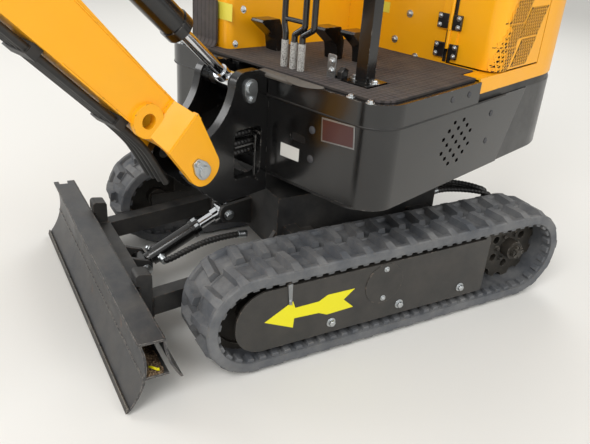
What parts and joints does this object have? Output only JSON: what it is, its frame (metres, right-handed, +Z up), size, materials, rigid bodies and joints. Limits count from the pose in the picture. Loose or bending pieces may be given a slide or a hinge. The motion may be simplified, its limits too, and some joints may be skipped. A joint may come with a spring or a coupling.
{
  "type": "mini excavator",
  "caption": "Rubber-tracked one-tonne excavator with a fixed boom foot, bent boom, arm and toothed bucket, dozer blade, four-post canopy and open operator's seat.",
  "frame": {"origin": "on the ground under the middle of the whole machine's bounding box in the parked pose", "axes": "+Z up, the undercarriage and its blade face -Y, the machine's left side is +X; the upper structure is slewed 17.5 degrees to its left"},
  "size_m": [1.2812, 2.7345, 2.252],
  "materials": {
    "black_paint": "gloss",
    "black_plastic": "matte",
    "cast_steel": "matte",
    "chrome_rod": "polished",
    "engine_paint": "satin",
    "grey_paint": "satin",
    "hose_rubber": "satin",
    "mat_rubber": "matte",
    "roof_plastic": "semi-gloss",
    "seal_rubber": "matte",
    "seat_vinyl": "satin",
    "speckled_sleeve": "matte",
    "track_rubber": "dusty",
    "yellow_paint": "semi-gloss",
    "zinc": "satin"
  },
  "bodies": {
    "undercarriage": {"track_left": "track_rubber", "track_right": "track_rubber", "track_frame_left": "grey_paint", "track_frame_right": "grey_paint", "idlers": "cast_steel", "sprockets": "cast_steel", "rollers": "cast_steel", "travel_motors": "cast_steel", "car_body": "grey_paint", "travel_hoses": "hose_rubber"},
    "blade": {"blade_board": "grey_paint", "blade_frame": "grey_paint"},
    "blade_barrel": {"blade_cylinder_barrel": "black_paint", "blade_hose": "hose_rubber"},
    "blade_rod": {"blade_cylinder_rod": "chrome_rod"},
    "house": {"platform": "black_paint", "boom_bracket": "black_paint", "bracket_pins": "zinc", "skirt_left": "black_paint", "skirt_right": "black_paint", "deck": "black_paint", "floor_mat": "mat_rubber", "counterweight": "grey_paint", "hood": "yellow_paint", "hood_seal": "seal_rubber", "engine": "engine_paint", "seat_frame": "black_paint", "seat_cushion": "seat_vinyl", "seat_back": "seat_vinyl", "canopy_frame": "black_paint", "canopy_roof": "roof_plastic", "side_console": "yellow_paint", "left_console": "black_plastic", "hand_grips": "black_plastic", "control_levers": "black_paint", "lever_sleeves": "speckled_sleeve", "foot_pedals": "black_paint", "bracket_hoses": "hose_rubber"},
    "door": {"door_left": "yellow_paint"},
    "boom": {"boom": "yellow_paint", "boom_pins": "zinc", "boom_hoses": "hose_rubber"},
    "boom_barrel": {"boom_cylinder_barrel": "black_paint"},
    "boom_rod": {"boom_cylinder_rod": "chrome_rod"},
    "arm": {"arm": "yellow_paint", "arm_pins": "zinc"},
    "arm_barrel": {"arm_cylinder_barrel": "black_paint"},
    "arm_rod": {"arm_cylinder_rod": "chrome_rod"},
    "bucket": {"bucket": "black_paint", "bucket_pins": "zinc"},
    "rocker": {"rocker": "black_paint", "rocker_pins": "zinc"},
    "link": {"link": "black_paint"},
    "bucket_barrel": {"bucket_cylinder_barrel": "black_paint"},
    "bucket_rod": {"bucket_cylinder_rod": "chrome_rod"}
  },
  "joints": [
    {"name": "slew", "type": "hinge", "parent": "undercarriage", "child": "house", "pos_m": [-0.1207, 0.635, 0.428], "axis": [0, 0, 1], "continuous": true},
    {"name": "blade_lift", "type": "hinge", "parent": "undercarriage", "child": "blade", "pos_m": [-0.1207, 0.335, 0.165], "axis": [-1, 0, 0], "range_deg": [-20, 22]},
    {"name": "blade_barrel_pivot", "type": "hinge", "parent": "blade", "child": "blade_barrel", "pos_m": [-0.1207, 0.015, 0.115], "axis": [1, 0, 0], "range_deg": [-2.01, 1.87]},
    {"name": "blade_rod_slide", "type": "slide", "parent": "blade_barrel", "child": "blade_rod", "axis": [0, 0.8902, 0.4555], "range_m": [-0.03992, 0.03638]},
    {"name": "door_left_hinge", "type": "hinge", "parent": "house", "child": "door", "pos_m": [0.12506, 0.82992, 0.718], "axis": [0, 0, -1], "range_deg": [0, 95]},
    {"name": "boom_lift", "type": "hinge", "parent": "house", "child": "boom", "pos_m": [0.05822, 0.06754, 0.505], "axis": [-0.9537, -0.3007, 0], "range_deg": [-55, 30]},
    {"name": "boom_barrel_pivot", "type": "hinge", "parent": "boom", "child": "boom_barrel", "pos_m": [0.17194, -0.29313, 1.18054], "axis": [0.9537, 0.3007, 0], "range_deg": [-4.02, 2.42]},
    {"name": "boom_rod_slide", "type": "slide", "parent": "boom_barrel", "child": "boom_rod", "axis": [-0.2215, 0.7026, -0.6762], "range_m": [-0.12333, 0.22526]},
    {"name": "arm_swing", "type": "hinge", "parent": "boom", "child": "arm", "pos_m": [0.45999, -1.20671, 1.25518], "axis": [0.9537, 0.3007, 0], "range_deg": [-92, 20]},
    {"name": "arm_barrel_pivot", "type": "hinge", "parent": "boom", "child": "arm_barrel", "pos_m": [0.23921, -0.5065, 1.29839], "axis": [0.9537, 0.3007, 0], "range_deg": [-3.48, 1.15]},
    {"name": "arm_rod_slide", "type": "slide", "parent": "arm_barrel", "child": "arm_rod", "axis": [0.2992, -0.949, 0.0991], "range_m": [-0.21423, 0.04735]},
    {"name": "bucket_curl", "type": "hinge", "parent": "arm", "child": "bucket", "pos_m": [0.40372, -1.02825, 0.37485], "axis": [0.9537, 0.3007, 0], "range_deg": [-70, 60]},
    {"name": "rocker_turn", "type": "hinge", "parent": "arm", "child": "rocker", "pos_m": [0.4131, -1.05799, 0.52157], "axis": [0.9537, 0.3007, 0], "range_deg": [-70.5, 60.5]},
    {"name": "link_turn", "type": "hinge", "parent": "rocker", "child": "link", "pos_m": [0.45623, -1.1948, 0.47771], "axis": [0.9537, 0.3007, 0], "range_deg": [-60.5, 70.5]},
    {"name": "bucket_barrel_pivot", "type": "hinge", "parent": "arm", "child": "bucket_barrel", "pos_m": [0.49848, -1.32879, 1.13596], "axis": [0.9537, 0.3007, 0], "range_deg": [-0.51, 0.51]},
    {"name": "bucket_rod_slide", "type": "slide", "parent": "bucket_barrel", "child": "bucket_rod", "axis": [-0.0628, 0.1991, -0.978], "range_m": [-0.14778, 0.12681]}
  ],
  "couplings": [
    {"joint": "blade_barrel_pivot", "follows": "blade_lift", "ratio": -0.068712},
    {"joint": "blade_rod_slide", "follows": "blade_lift", "m_per_rad": -0.10137},
    {"joint": "boom_barrel_pivot", "follows": "boom_lift", "ratio": 0.063992},
    {"joint": "boom_rod_slide", "follows": "boom_lift", "m_per_rad": -0.23362},
    {"joint": "arm_barrel_pivot", "follows": "arm_swing", "ratio": 0.032441},
    {"joint": "arm_rod_slide", "follows": "arm_swing", "m_per_rad": 0.1328},
    {"joint": "rocker_turn", "follows": "bucket_curl", "ratio": 1},
    {"joint": "link_turn", "follows": "bucket_curl", "ratio": -1},
    {"joint": "bucket_barrel_pivot", "follows": "bucket_curl", "ratio": -0.000142},
    {"joint": "bucket_rod_slide", "follows": "bucket_curl", "m_per_rad": 0.12014}
  ]
}
